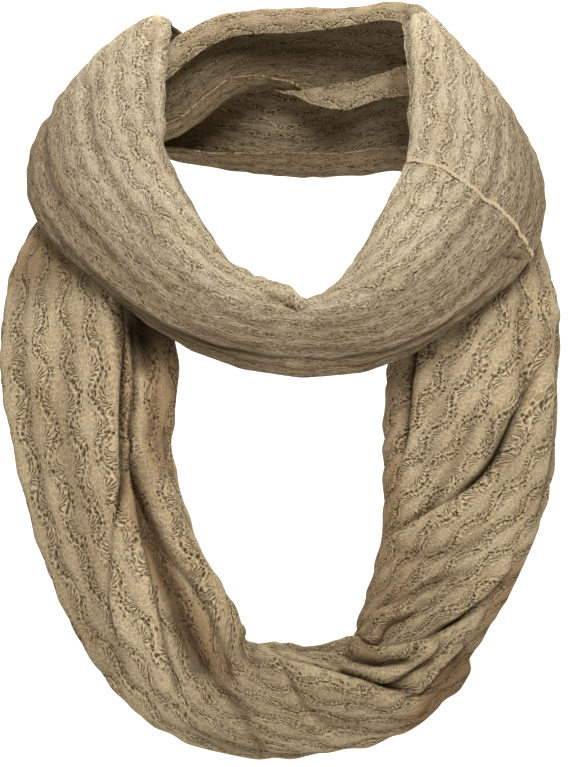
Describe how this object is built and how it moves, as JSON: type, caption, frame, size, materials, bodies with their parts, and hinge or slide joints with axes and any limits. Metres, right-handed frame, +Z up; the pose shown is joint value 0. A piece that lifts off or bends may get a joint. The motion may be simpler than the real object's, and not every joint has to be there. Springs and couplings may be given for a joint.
{
  "type": "infinity scarf",
  "caption": "Knitted lace infinity scarf worn as a double wrap: a close upper turn round an open neck and a longer turn hanging below it in soft gathered folds",
  "frame": {"origin": "centre of the open neck, level with the tops of the shoulders, where the wearer's neck holds the scarf", "axes": "+Z up the neck, -Y to the front as in the picture, +X to the viewer's right"},
  "size_m": [0.3391, 0.2466, 0.4652],
  "materials": {
    "upper_turn": "matt knitted lace, oatmeal",
    "lower_turn": "matt knitted lace, shaded oatmeal"
  },
  "bodies": {
    "root": {"neck_turn_front": "upper_turn", "neck_turn_right": "upper_turn", "nape_turn_upper": "lower_turn", "hanging_turn_left": "lower_turn", "hanging_turn_bottom": "lower_turn", "hanging_turn_right": "lower_turn", "nape_turn_lower": "lower_turn"}
  },
  "joints": []
}
